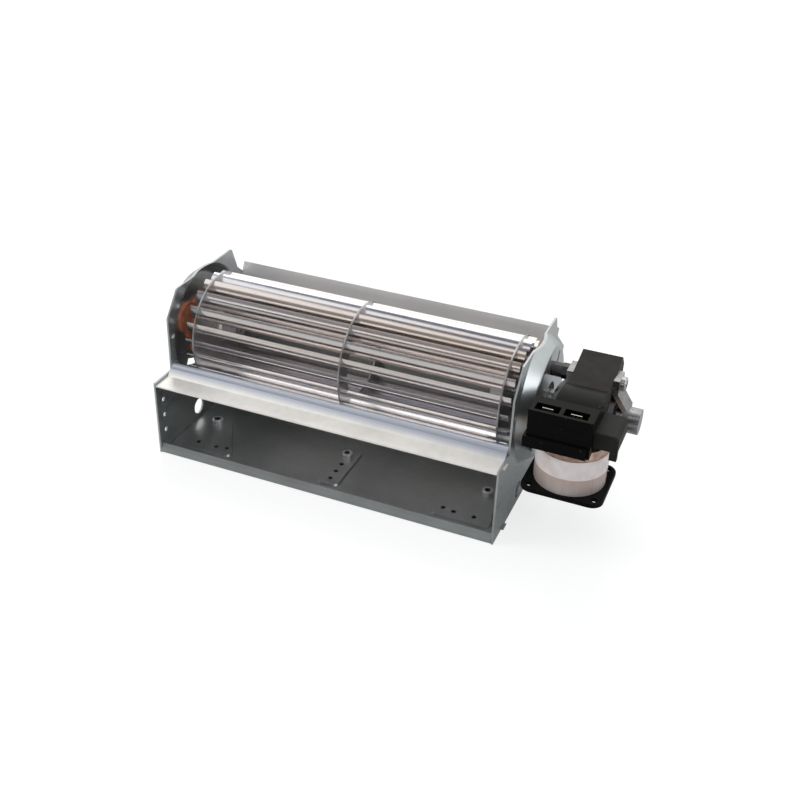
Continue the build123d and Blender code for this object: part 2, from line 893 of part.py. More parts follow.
# Bobbin: flanged tube round the limb, with the terminal head in front of the stack
flange_middle_y = (flange_front + flange_rear) / 2
flange_depth = flange_rear - flange_front
tube_size = (stack_length + 2 * (tube_gap + tube_wall), limb_depth + 2 * (tube_gap + tube_wall))
head_back = stack_front - tube_gap
head_low = coil_top
cover_low = axis_height + leg_top(cover_rear) + tube_gap
with BuildPart() as coil_bobbin:
    with BuildSketch(Plane.XY.offset(coil_low - flange)) as foot_face:
        with Locations((stack_middle, flange_middle_y)):
            RectangleRounded(flange_width, flange_depth, flange_round)
            with GridLocations(
                flange_width - 2 * flange_hole_inset, flange_depth - 2 * flange_hole_inset, 2, 2
            ):
                Circle(flange_hole_radius, mode=Mode.SUBTRACT)
    extrude(amount=flange)
    fillet(coil_bobbin.edges().filter_by(GeomType.LINE).group_by(Axis.Z)[-1], flange_edge)
    with BuildSketch(Plane.XY.offset(coil_low)):
        with Locations(coil_centre):
            Rectangle(*tube_size)
    extrude(amount=winding_height)
    with BuildSketch(Plane.XY.offset(coil_top)):
        with Locations(coil_centre):
            Circle(winding_radius)
        Polygon(
            (head_left - head_band_reach, coil_y),
            (head_right, coil_y),
            (head_right, head_front - head_band_reach),
            (head_left - head_band_reach, head_front - head_band_reach),
            align=None,
        )
        with Locations((head_right + winding_radius, coil_y)):
            Rectangle(2 * winding_radius, 2 * winding_radius, mode=Mode.SUBTRACT)
    extrude(amount=flange)
    with BuildSketch(across(head_left)):
        with BuildLine():
            Polyline(
                (head_front, head_low),
                (head_front, axis_height + head_top),
                (head_back, axis_height + head_top),
                (head_back, head_low),
                close=True,
            )
        make_face()
    extrude(amount=head_right - head_left)
    with BuildSketch(Plane.XY.offset(head_low)):
        with BuildLine():
            Polyline(
                (head_left - head_band_reach, head_front - head_band_reach),
                (head_right, head_front - head_band_reach),
                (head_right, head_back),
                (head_left - head_band_reach, head_back),
                close=True,
            )
        make_face()
    extrude(amount=head_band_height)
    with BuildSketch(across(stack_start)):
        with BuildLine():
            under = Line(
                (cover_rear, cover_low), (head_back, axis_height + leg_top(head_back) + tube_gap)
            )
            over = SagittaArc(
                (head_back, axis_height + head_top), (cover_rear, cover_low + cover_wall), cover_sag
            )
            Line(under @ 1, over @ 0)
            Line(over @ 1, under @ 0)
        make_face()
    extrude(amount=head_right - stack_start)
    with BuildSketch(across(head_right)):
        with BuildLine():
            Polyline(
                (head_front, head_low),
                (head_front, axis_height + head_top),
                (head_back, axis_height + head_top),
                (cheek_rear, axis_height + leg_top(cheek_rear) + tube_gap),
                (cheek_rear, axis_height + cheek_low),
                (coil_y, head_low),
                close=True,
            )
        make_face()
    extrude(amount=cheek)
    pocket_span = (head_right - head_left - 3 * pocket_gap) / 2
    pocket_middle = (head_left + head_right) / 2
    pocket_y = head_front + pocket_wall + pocket_depth_y / 2
    pocket_places = [
        (pocket_middle + side * (pocket_span + pocket_gap) / 2, pocket_y) for side in (-1, 1)
    ]
    with BuildSketch(Plane.XY.offset(axis_height + head_top)):
        with Locations(*pocket_places):
            Rectangle(pocket_span, pocket_depth_y)
    extrude(amount=pocket_bottom - head_top, mode=Mode.SUBTRACT)
    with BuildSketch(Plane.XY.offset(coil_low - flange)):
        with Locations(coil_centre):
            Rectangle(stack_length + 2 * tube_gap, limb_depth + 2 * tube_gap)
    extrude(amount=upper_leg_inner + leg_inner, mode=Mode.SUBTRACT)
save(coil_bobbin, "coil_bobbin")

for name, (x, y) in zip(("left", "right"), pocket_places):
    with BuildPart() as spade_terminal:
        with BuildSketch(Plane.XZ.offset(-y)):
            with Locations((x, axis_height + (pocket_bottom + terminal_top) / 2)):
                Rectangle(terminal_width, terminal_top - pocket_bottom)
        extrude(amount=terminal_thickness / 2, both=True)
    save(spade_terminal, f"{name}_spade_terminal")

# Coil winding, the tape round it and the bare label
with BuildPart() as coil_winding:
    with BuildSketch(Plane.XY.offset(coil_low)):
        with Locations(coil_centre):
            Circle(winding_radius)
            Rectangle(*tube_size, mode=Mode.SUBTRACT)
    extrude(amount=winding_height)
save(coil_winding, "coil_winding")

with BuildPart() as coil_tape:
    with BuildSketch(Plane.XY.offset(coil_low)):
        with Locations(coil_centre):
            Circle(winding_radius + wrap)
            Circle(winding_radius, mode=Mode.SUBTRACT)
    extrude(amount=label_high)
save(coil_tape, "coil_tape")

with BuildPart() as coil_label:
    with BuildSketch(Plane.XY.offset(coil_low + label_low)):
        with BuildLine():
            first = label_middle_angle - label_span_angle / 2
            inner = CenterArc(coil_centre, winding_radius + wrap, first, label_span_angle)
            outer = CenterArc(coil_centre, winding_radius + wrap + label_film, first, label_span_angle)
            Line(inner @ 0, outer @ 0)
            Line(inner @ 1, outer @ 1)
        make_face()
    extrude(amount=label_high - label_low)
save(coil_label, "coil_label")

# Guard: an open box on the outer side of the cheek
guard_start = head_right + cheek
guard_middle_y = (guard_front + guard_rear) / 2
guard_depth = guard_rear - guard_front
with BuildPart() as terminal_guard:
    with BuildSketch(across(guard_start)):
        with Locations((guard_middle_y, axis_height + (guard_low + guard_top) / 2)):
            Rectangle(guard_depth, guard_top - guard_low)
    extrude(amount=guard_length)
    outer_top_edge = terminal_guard.edges().filter_by(Axis.Y).group_by(Axis.Z)[-1].sort_by(Axis.X)[-1]
    fillet(outer_top_edge, guard_round)
    fillet(terminal_guard.edges().filter_by(Axis.X).group_by(Axis.Z)[-1], guard_round / 2)
    with BuildSketch(Plane.XY.offset(axis_height + guard_low)):
        with Locations((guard_start + guard_length / 2, guard_middle_y)):
            Rectangle(guard_length - 2 * guard_wall, guard_depth - 2 * guard_wall)
    extrude(amount=(guard_top - guard_low) / 2, mode=Mode.SUBTRACT)
    with BuildSketch(Plane.XY.offset(axis_height + guard_low - guard_leg_length)):
        with Locations((guard_start + guard_length, guard_front)):
            Rectangle(guard_leg_width, guard_leg_depth, align=(Align.MAX, Align.MIN))
    extrude(amount=guard_leg_length + (guard_top - guard_low) / 2)
save(terminal_guard, "terminal_guard")
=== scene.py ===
"""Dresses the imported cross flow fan: finishes, small fittings, studio and camera.

Places and sizes are in metres, unless their name ends in mm. Angles are in degrees.
"""
import json
import logging
import math
from dataclasses import dataclass
from enum import Enum

import bmesh
import bpy
from mathutils import Matrix, Vector

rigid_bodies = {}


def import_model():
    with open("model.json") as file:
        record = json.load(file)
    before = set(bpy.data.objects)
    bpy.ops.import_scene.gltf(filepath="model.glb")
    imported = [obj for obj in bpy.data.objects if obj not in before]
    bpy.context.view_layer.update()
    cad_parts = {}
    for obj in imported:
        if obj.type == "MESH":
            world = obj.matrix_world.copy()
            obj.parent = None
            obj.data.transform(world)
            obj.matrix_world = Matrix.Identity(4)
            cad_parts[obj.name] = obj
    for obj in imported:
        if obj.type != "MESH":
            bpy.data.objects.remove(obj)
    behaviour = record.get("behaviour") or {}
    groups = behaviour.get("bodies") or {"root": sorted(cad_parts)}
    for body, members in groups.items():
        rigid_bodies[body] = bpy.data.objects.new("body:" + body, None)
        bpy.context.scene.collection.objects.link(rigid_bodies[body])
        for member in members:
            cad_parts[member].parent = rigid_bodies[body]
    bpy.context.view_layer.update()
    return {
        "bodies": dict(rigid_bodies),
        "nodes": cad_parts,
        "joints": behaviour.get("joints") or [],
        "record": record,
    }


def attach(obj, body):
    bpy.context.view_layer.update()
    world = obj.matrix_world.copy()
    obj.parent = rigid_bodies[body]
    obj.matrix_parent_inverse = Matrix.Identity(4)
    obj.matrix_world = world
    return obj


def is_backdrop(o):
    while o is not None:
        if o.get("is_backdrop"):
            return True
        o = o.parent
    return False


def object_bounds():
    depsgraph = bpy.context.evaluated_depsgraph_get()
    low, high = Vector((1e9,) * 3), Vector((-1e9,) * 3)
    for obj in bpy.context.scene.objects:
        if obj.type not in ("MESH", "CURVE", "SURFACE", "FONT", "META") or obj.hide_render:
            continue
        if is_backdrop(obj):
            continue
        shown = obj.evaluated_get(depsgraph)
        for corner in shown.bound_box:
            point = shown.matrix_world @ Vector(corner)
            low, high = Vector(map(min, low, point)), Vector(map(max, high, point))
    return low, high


LOG = logging.getLogger("cross_flow_fan")

Colour = tuple[float, float, float]
Point = tuple[float, float, float]
Socket = bpy.types.NodeSocket

# Sockets of the colour mixing node, by their place in it
MIX_FACTOR, MIX_FIRST, MIX_SECOND, MIX_RESULT = 0, 6, 7, 2
MILLIMETRE = 0.001
# Width of one band of the wave texture at a scale of 1
WAVE_BAND = math.pi / 10.0
# Scale of a streaked noise along its grain, where the scale across it is 1
STREAK = 0.03


class Grain(Enum):
    """Direction in which a rolled or drawn surface is streaked, as the scale of its noise."""

    ALONG_FAN = (STREAK, 1.0, 1.0)
    UPRIGHT = (1.0, 1.0, STREAK)
    EVEN = (1.0, 1.0, 1.0)


class Lay(Enum):
    """Axis across which thin sheets or wire turns are stacked."""

    ACROSS_FAN = "X"
    UPRIGHT = "Z"


def shade(colour: Colour, factor: float) -> Colour:
    """Colour made lighter or darker by a factor."""
    return (colour[0] * factor, colour[1] * factor, colour[2] * factor)


class Board:
    """Node tree of one finish, with the wiring that every finish needs."""

    def __init__(self, name: str, roughness: float, metallic: float = 0.0) -> None:
        """Start a material with a plain shader.

        Args:
            name: Name of the material.
            roughness: Its own roughness.
            metallic: Metallic value of the shader.
        """
        self.roughness = roughness
        self.material = bpy.data.materials.new(name)
        self.material.use_nodes = True
        self.tree = self.material.node_tree
        self.shader = self.tree.nodes["Principled BSDF"]
        self.tune("Metallic", metallic)
        self.tune("Roughness", roughness)
        self.place = self.add("ShaderNodeTexCoord").outputs["Object"]

    def add(self, kind: str, **settings: object) -> bpy.types.Node:
        """Add a node and set its properties.

        Args:
            kind: Type name of the node.
            settings: Properties of the node by name.

        Returns:
            The new node.
        """
        node = self.tree.nodes.new(kind)
        for key, value in settings.items():
            setattr(node, key, value)
        return node

    def wire(self, source: Socket, target: Socket) -> None:
        """Link one socket to another."""
        self.tree.links.new(source, target)

    def tune(self, name: str, value: float | Point) -> None:
        """Set an input of the shader to a plain value."""
        self.shader.inputs[name].default_value = value

    def stretched(self, grain: Grain) -> Socket:
        """Place on the object, stretched along a grain.

        Args:
            grain: Direction of the grain.

        Returns:
            The stretched coordinates.
        """
        mapping = self.add("ShaderNodeMapping")
        mapping.inputs["Scale"].default_value = grain.value
        self.wire(self.place, mapping.inputs["Vector"])
        return mapping.outputs["Vector"]

    def noise(self, size_mm: float, detail: float = 3.0, grain: Grain = Grain.EVEN) -> Socket:
        """Soft noise of a given size.

        Args:
            size_mm: Size of its blotches in millimetres.
            detail: Number of finer layers in it.
            grain: Direction in which it is streaked.

        Returns:
            A value from 0 to 1.
        """
        node = self.add("ShaderNodeTexNoise")
        node.inputs["Scale"].default_value = 1.0 / (size_mm * MILLIMETRE)
        node.inputs["Detail"].default_value = detail
        self.wire(self.stretched(grain), node.inputs["Vector"])
        return node.outputs["Fac"]

    def bands(self, pitch_mm: float, lay: Lay, ragged: float = 0.0) -> Socket:
        """Even bands, such as sheet edges or wire turns.

        Args:
            pitch_mm: Width of one band in millimetres.
            lay: Axis across which the bands are stacked.
            ragged: How far they waver.

        Returns:
            A value from 0 to 1, which is 0 where two bands meet.
        """
        node = self.add("ShaderNodeTexWave", bands_direction=lay.value)
        node.inputs["Scale"].default_value = WAVE_BAND / (pitch_mm * MILLIMETRE)
        node.inputs["Distortion"].default_value = ragged
        self.wire(self.place, node.inputs["Vector"])
        return node.outputs["Fac"]

    def upright_part(self, vector: Socket) -> Socket:
        """Upright part of a vector.

        Args:
            vector: The vector.

        Returns:
            Its Z value.
        """
        split = self.add("ShaderNodeSeparateXYZ")
        self.wire(vector, split.inputs["Vector"])
        return split.outputs["Z"]

    def facing_up(self) -> Socket:
        """How far the surface faces up, from -1 to 1."""
        return self.upright_part(self.add("ShaderNodeNewGeometry").outputs["Normal"])

    def height(self) -> Socket:
        """Height of the point above the underside of the fan."""
        return self.upright_part(self.place)

    def span(
        self, value: Socket, low: float, high: float, out_low: float, out_high: float
    ) -> Socket:
        """Move a value from one range to another, clamped.

        Args:
            value: The value to move.
            low: Start of its own range.
            high: End of its own range.
            out_low: Start of the new range.
            out_high: End of the new range.

        Returns:
            The moved value.
        """
        node = self.add("ShaderNodeMapRange")
        limits = {"From Min": low, "From Max": high, "To Min": out_low, "To Max": out_high}
        for key, number in limits.items():
            node.inputs[key].default_value = number
        self.wire(value, node.inputs["Value"])
        return node.outputs["Result"]

    def blend(self, factor: Socket, first: Socket | Colour, second: Socket | Colour) -> Socket:
        """Mix two colours.

        Args:
            factor: Share of the second colour.
            first: Colour, or socket with one.
            second: Colour, or socket with one.

        Returns:
            The mixed colour.
        """
        node = self.add("ShaderNodeMix", data_type="RGBA")
        self.wire(factor, node.inputs[MIX_FACTOR])
        for place, colour in ((MIX_FIRST, first), (MIX_SECOND, second)):
            if isinstance(colour, tuple):
                node.inputs[place].default_value = (*colour, 1.0)
            else:
                self.wire(colour, node.inputs[place])
        return node.outputs[MIX_RESULT]

    def laid(
        self,
        value: Socket,
        base: Socket | Colour,
        tint: Colour,
        start: float,
        full: float,
        share: float = 1.0,
    ) -> Socket:
        """Lay a tint over a colour, by a value.

        Args:
            value: The value that says where the tint lies.
            base: Colour below the tint.
            tint: Colour of the tint.
            start: Value at which the tint sets in.
            full: Value at which it has its share, above the start or below it.
            share: How much of the tint shows there.

        Returns:
            The new colour.
        """
        return self.blend(self.span(value, start, full, 0.0, share), base, tint)

    def clouded(
        self,
        value: Socket,
        colour: Colour,
        dark: float,
        light: float,
        start: float = 0.35,
        full: float = 0.7,
    ) -> Socket:
        """Colour that drifts from a darker to a lighter shade of itself.

        Args:
            value: The value that drives the drift.
            colour: The colour.
            dark: Factor of the darker shade.
            light: Factor of the lighter shade.
            start: Value below which the darker shade shows.
            full: Value above which the lighter shade shows.

        Returns:
            The new colour.
        """
        return self.laid(value, shade(colour, dark), shade(colour, light), start, full)

    def bump(self, height: Socket, depth_mm: float, strength: float) -> None:
        """Raise the surface by a height, on top of any bump before it.

        Args:
            height: Height from 0 to 1.
            depth_mm: Depth of the relief in millimetres.
            strength: Share of the relief that shows.
        """
        node = self.add("ShaderNodeBump")
        node.inputs["Distance"].default_value = depth_mm * MILLIMETRE
        node.inputs["Strength"].default_value = strength
        self.wire(height, node.inputs["Height"])
        normal = self.shader.inputs["Normal"]
        if normal.is_linked:
            self.wire(normal.links[0].from_socket, node.inputs["Normal"])
        self.wire(node.outputs["Normal"], normal)

    def paint(self, colour: Socket) -> None:
        """Give the shader its colour."""
        self.wire(colour, self.shader.inputs["Base Color"])

    def roughen(
        self, value: Socket, smoother: float, rougher: float, start: float = 0.3, full: float = 0.7
    ) -> None:
        """Let a value drive the roughness around the material's own.

        Args:
            value: The value that drives it.
            smoother: How far it goes below the material's own roughness.
            rougher: How far it goes above it.
            start: Value below which the surface is smoothest.
            full: Value above which it is roughest.
        """
        low, high = self.roughness - smoother, self.roughness + rougher
        self.wire(self.span(value, start, full, low, high), self.shader.inputs["Roughness"])


@dataclass(frozen=True)
class SheetMetal:
    """Rolled sheet with a zinc coat: soft clouds, faint blotches and fine rolling lines.

    The values named cloud, blotch and line say how strongly each of them shows. Where a
    high colour is given, the sheet changes to it between the heights low_z and high_z, as painted
    light and shade.
    """

    name: str
    colour: Colour
    roughness: float = 0.38
    metallic: float = 1.0
    cloud_mm: float = 26.0
    cloud: float = 0.16
    cloud_lift: float = 0.6
    blotch_mm: float = 4.0
    blotch: float = 0.12
    line_mm: float = 2.4
    line: float = 0.05
    grain: Grain = Grain.ALONG_FAN
    high: Colour | None = None
    low_z: float = 0.030
    high_z: float = 0.062

    def build(self) -> bpy.types.Material:
        """Build the finish.

        Returns:
            Its material.
        """
        board = Board(self.name, self.roughness, self.metallic)
        clouds = board.noise(self.cloud_mm, detail=1.0)
        blotches = board.noise(self.blotch_mm, detail=0.0)
        lines = board.noise(self.line_mm, detail=1.0, grain=self.grain)
        dark, light = 1.0 - self.cloud, 1.0 + self.cloud * self.cloud_lift
        tone = board.clouded(clouds, self.colour, dark, light, start=0.1, full=0.9)
        tone = board.laid(
            blotches, tone, shade(self.colour, 0.6), start=0.4, full=0.75, share=self.blotch
        )
        tone = board.laid(
            lines, tone, shade(self.colour, 1.2), start=0.4, full=0.75, share=self.line
        )
        # Painted light and shade: the sheet changes colour by height
        if self.high:
            tone = board.laid(board.height(), tone, self.high, self.low_z, self.high_z)
        board.paint(tone)
        board.roughen(clouds, smoother=0.06, rougher=0.08, start=0.0, full=1.0)
        board.bump(lines, depth_mm=0.006, strength=0.5)
        return board.material


@dataclass(frozen=True)
class BrightStrip:
    """Bright rolled aluminium strip, with long drawn lines and a faint change of tint."""

    name: str
    colour: Colour
    warm: Colour
    roughness: float = 0.20
    tint_mm: float = 16.0
    streak_mm: float = 0.9
    streak: float = 0.16
    handling_mm: float = 7.0
    handling: float = 0.16

    def build(self) -> bpy.types.Material:
        """Build the finish.

        Returns:
            Its material.
        """
        board = Board(self.name, self.roughness, metallic=1.0)
        tints = board.noise(self.tint_mm, detail=2.0, grain=Grain.ALONG_FAN)
        streaks = board.noise(self.streak_mm, grain=Grain.ALONG_FAN)
        marks = board.noise(self.handling_mm, detail=5.0)
        tone = board.laid(tints, self.colour, self.warm, start=0.35, full=0.65)
        tone = board.laid(
            streaks, tone, shade(self.colour, 0.7), start=0.35, full=0.75, share=self.streak
        )
        tone = board.laid(
            marks, tone, shade(self.warm, 0.6), start=0.55, full=0.8, share=self.handling
        )
        board.paint(tone)
        board.roughen(streaks, smoother=0.03, rougher=0.05)
        board.bump(streaks, depth_mm=0.004, strength=0.4)
        return board.material


@dataclass(frozen=True)
class PlatedMetal:
    """Small turned, pressed or cast metal piece, with fine pitting and a worn tone.

    A turned piece also has lines round it, with turned_mm as their pitch and turned_depth as
    their depth, a share of the pitch.
    """

    name: str
    colour: Colour
    roughness: float = 0.32
    pitting_mm: float = 0.6
    pitting_depth_mm: float = 0.02
    turned_mm: float = 0.0
    turned_depth: float = 0.03
    wear_mm: float = 4.0

    def build(self) -> bpy.types.Material:
        """Build the finish.

        Returns:
            Its material.
        """
        board = Board(self.name, self.roughness, metallic=1.0)
        wear = board.noise(self.wear_mm, detail=4.0)
        pits = board.noise(self.pitting_mm, detail=4.0)
        tone = board.clouded(wear, self.colour, dark=0.82, light=1.08)
        tone = board.laid(pits, tone, shade(self.colour, 0.5), start=0.55, full=0.75, share=0.35)
        board.paint(tone)
        board.roughen(pits, smoother=0.06, rougher=0.12)
        board.bump(pits, self.pitting_depth_mm, strength=0.8)
        if self.turned_mm:
            lines = board.bands(self.turned_mm, Lay.ACROSS_FAN)
            board.bump(lines, self.turned_depth * self.turned_mm, strength=0.6)
        return board.material


@dataclass(frozen=True)
class StackedSheets:
    """Pack of thin varnished steel sheets, seen on their edges and on the face."""

    name: str
    colour: Colour
    sheet_mm: float = 0.5
    roughness: float = 0.62
    specular: float = 0.3
    stain_mm: float = 6.0
    fleck_mm: float = 0.8

    def build(self) -> bpy.types.Material:
        """Build the finish.

        Returns:
            Its material.
        """
        board = Board(self.name, self.roughness)
        board.tune("Specular IOR Level", self.specular)
        edges = board.bands(self.sheet_mm, Lay.ACROSS_FAN, ragged=0.4)
        stain = board.noise(self.stain_mm, detail=5.0)
        flecks = board.noise(self.fleck_mm)
        tone = board.clouded(stain, self.colour, dark=0.8, light=1.25)
        tone = board.laid(edges, tone, shade(self.colour, 0.35), start=0.35, full=0.0, share=0.45)
        tone = board.laid(flecks, tone, shade(self.colour, 4.0), start=0.62, full=0.75, share=0.4)
        board.paint(tone)
        board.roughen(stain, smoother=0.10, rougher=0.12)
        board.bump(edges, depth_mm=0.06, strength=0.7)
        board.bump(flecks, depth_mm=0.02, strength=0.6)
        return board.material


@dataclass(frozen=True)
class MouldedPlastic:
    """Injection moulding: a fine mould grain, flow clouds, and dust on what faces up."""

    name: str
    colour: Colour
    roughness: float
    specular: float = 0.2
    dust: Colour = (0.20, 0.19, 0.17)
    dust_share: float = 0.05
    flow_mm: float = 9.0
    speck_mm: float = 1.6
    grain_mm: float = 0.35
    grain_depth_mm: float = 0.012

    def build(self) -> bpy.types.Material:
        """Build the finish.

        Returns:
            Its material.
        """
        board = Board(self.name, self.roughness)
        board.tune("Specular IOR Level", self.specular)
        flow = board.noise(self.flow_mm)
        grain = board.noise(self.grain_mm)
        specks = board.noise(self.speck_mm, detail=5.0)
        tone = board.clouded(flow, self.colour, dark=0.8, light=1.3, start=0.3)
        tone = board.laid(
            board.facing_up(), tone, self.dust, start=0.2, full=1.0, share=self.dust_share
        )
        tone = board.laid(specks, tone, shade(self.dust, 0.9), start=0.66, full=0.80, share=0.25)
        board.paint(tone)
        board.roughen(grain, smoother=0.05, rougher=0.10)
        board.bump(grain, self.grain_depth_mm, strength=0.7)
        return board.material


@dataclass(frozen=True)
class CastRubber:
    """Silicone moulding: even warm colour, slight bloom and a satin skin.

    A share of the light, sunk_share, sinks in and spreads as far as sunk_reach.
    """

    name: str
    colour: Colour
    roughness: float = 0.48
    bloom: Colour = (0.75, 0.50, 0.40)
    bloom_mm: float = 3.5
    skin_mm: float = 0.5
    sunk_share: float = 0.12
    sunk_reach: Point = (0.004, 0.0015, 0.0008)

    def build(self) -> bpy.types.Material:
        """Build the finish.

        Returns:
            Its material.
        """
        board = Board(self.name, self.roughness)
        board.tune("Subsurface Weight", self.sunk_share)
        board.tune("Subsurface Radius", self.sunk_reach)
        bloom = board.noise(self.bloom_mm, detail=5.0)
        skin = board.noise(self.skin_mm, detail=2.0)
        tone = board.clouded(bloom, self.colour, dark=0.78, light=1.12)
        tone = board.laid(bloom, tone, self.bloom, start=0.62, full=0.8, share=0.25)
        board.paint(tone)
        board.roughen(skin, smoother=0.06, rougher=0.10)
        board.bump(skin, depth_mm=0.015, strength=0.6)
        return board.material


@dataclass(frozen=True)
class EnamelledWire:
    """Copper wire laid in turns, under clear enamel."""

    name: str
    colour: Colour
    wire_mm: float = 0.35
    roughness: float = 0.3
    metallic: float = 0.85
    tone_mm: float = 2.5

    def build(self) -> bpy.types.Material:
        """Build the finish.

        Returns:
            Its material.
        """
        board = Board(self.name, self.roughness, self.metallic)
        turns = board.bands(self.wire_mm, Lay.UPRIGHT, ragged=0.6)
        tones = board.noise(self.tone_mm)
        tone = board.clouded(tones, self.colour, dark=0.7, light=1.15, start=0.3)
        tone = board.laid(turns, tone, shade(self.colour, 0.2), start=0.4, full=0.0, share=0.6)
        board.paint(tone)
        board.bump(turns, depth_mm=0.1, strength=0.8)
        return board.material


@dataclass(frozen=True)
class FilmTape:
    """Layers of clear film over copper: grey at the foot, warm above it, pale at the top; the grey
    foot is painted shade and the pale top painted light.
    """

    name: str
    low: Colour
    middle: Colour
    high: Colour
    low_z: float
    middle_z: float
    high_z: float
    roughness: float = 0.34
    coat: float = 0.25
    coat_roughness: float = 0.2
    wrinkle_mm: float = 3.0
    blotch_mm: float = 6.0

    def build(self) -> bpy.types.Material:
        """Build the finish.

        Returns:
            Its material.
        """
        board = Board(self.name, self.roughness)
        board.tune("Coat Weight", self.coat)
        board.tune("Coat Roughness", self.coat_roughness)
        level = board.height()
        wrinkles = board.noise(self.wrinkle_mm, detail=4.0, grain=Grain.UPRIGHT)
        blotches = board.noise(self.blotch_mm, detail=4.0)
        # Painted shade at the foot and painted light at the top, by height
        tone = board.laid(level, self.low, self.middle, self.low_z, self.middle_z)
        tone = board.laid(level, tone, self.high, self.middle_z, self.high_z)
        tone = board.laid(blotches, tone, shade(self.middle, 0.82), start=0.4, full=0.7, share=0.45)
        tone = board.laid(wrinkles, tone, shade(self.high, 1.1), start=0.55, full=0.75, share=0.3)
        board.paint(tone)
        board.roughen(wrinkles, smoother=0.08, rougher=0.12)
        board.bump(wrinkles, depth_mm=0.05, strength=0.5)
        return board.material


@dataclass(frozen=True)
class BareLabel:
    """Plain white film label with a faint weave, soiled a little in blotches."""

    name: str
    colour: Colour
    soiled: Colour
    roughness: float = 0.45
    soil_mm: float = 5.0
    fibre_mm: float = 0.3

    def build(self) -> bpy.types.Material:
        """Build the finish.

        Returns:
            Its material.
        """
        board = Board(self.name, self.roughness)
        soil = board.noise(self.soil_mm, detail=5.0)
        fibres = board.noise(self.fibre_mm, detail=2.0)
        tone = board.laid(soil, self.colour, self.soiled, start=0.42, full=0.75, share=0.7)
        tone = board.laid(fibres, tone, shade(self.soiled, 0.85), start=0.5, full=0.8, share=0.2)
        board.paint(tone)
        board.roughen(soil, smoother=0.08, rougher=0.10)
        board.bump(fibres, depth_mm=0.01, strength=0.5)
        return board.material


Finish = (
    SheetMetal | BrightStrip | PlatedMetal | StackedSheets | MouldedPlastic
    | CastRubber | EnamelledWire | FilmTape | BareLabel
)


class Dresser:
    """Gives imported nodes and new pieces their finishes, and logs each one."""

    def __init__(self, frame: dict) -> None:
        """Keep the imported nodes.
        """
        self.nodes: dict[str, bpy.types.Object] = frame["nodes"]
        self.materials: dict[str, bpy.types.Material] = {}

    def material(self, finish: Finish) -> bpy.types.Material:
        """Material of a finish, built once.

        Args:
            finish: The finish.

        Returns:
            Its material.
        """
        if finish.name not in self.materials:
            self.materials[finish.name] = finish.build()
        return self.materials[finish.name]

    def dress(self, names: tuple[str, ...], finish: Finish) -> None:
        """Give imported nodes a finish.

        Args:
            names: The nodes' names.
            finish: Their finish.
        """
        for name in names:
            mesh = self.nodes[name].data
            mesh.materials.clear()
            mesh.materials.append(self.material(finish))
            LOG.info("dressed %s in %s", name, finish.name)

    def add_piece(
        self, name: str, shape: bmesh.types.BMesh, finish: Finish, body: str
    ) -> None:
        """Turn a built shape into a piece that rides on a body.

        Args:
            name: Name of the piece.
            shape: Its shape. It is freed here.
            finish: Its finish.
            body: Body that it moves with.
        """
        mesh = bpy.data.meshes.new(name)
        bmesh.ops.recalc_face_normals(shape, faces=shape.faces)
        shape.to_mesh(mesh)
        shape.free()
        mesh.materials.append(self.material(finish))
        piece = bpy.data.objects.new(name, mesh)
        bpy.context.scene.collection.objects.link(piece)
        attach(piece, body)
        LOG.info("made %s, %d faces", name, len(mesh.polygons))


@dataclass
class Housing:
    """Folded sheet housing: scroll, tongue and the two dished side plates."""

    # Scroll painted mid grey below 30 mm and near-white above 62 mm: painted shade low inside it,
    # painted light on its upper part and flare
    sheet: SheetMetal = SheetMetal(
        "galvanised_scroll", (0.42, 0.445, 0.445), 0.30, metallic=0.8, high=(0.96, 0.95, 0.93)
    )
    # Tongue painted bright cream as a lit copy of the sheet; above about 44 mm its slant is painted
    # blue-grey as a reflection
    tongue: SheetMetal = SheetMetal(
        "galvanised_tongue", (0.97, 0.95, 0.90), 0.36, metallic=0.6, cloud=0.06,
        high=(0.54, 0.57, 0.64), low_z=0.0422, high_z=0.0442,
    )
    plate: SheetMetal = SheetMetal(
        "galvanised_plate", (0.50, 0.53, 0.535), 0.28, metallic=0.88, grain=Grain.UPRIGHT
    )
    nut: PlatedMetal = PlatedMetal("clinched_nut_zinc", (0.90, 0.92, 0.93), 0.32)

    def build(self, dresser: Dresser) -> None:
        """Dress the housing.

        Args:
            dresser: What gives the nodes their finishes.
        """
        dresser.dress(("scroll_wall",), self.sheet)
        dresser.dress(("tongue_plate",), self.tongue)
        dresser.dress(("left_side_plate", "right_side_plate"), self.plate)
        dresser.dress(("floor_nut_left", "floor_nut_centre", "floor_nut_right"), self.nut)


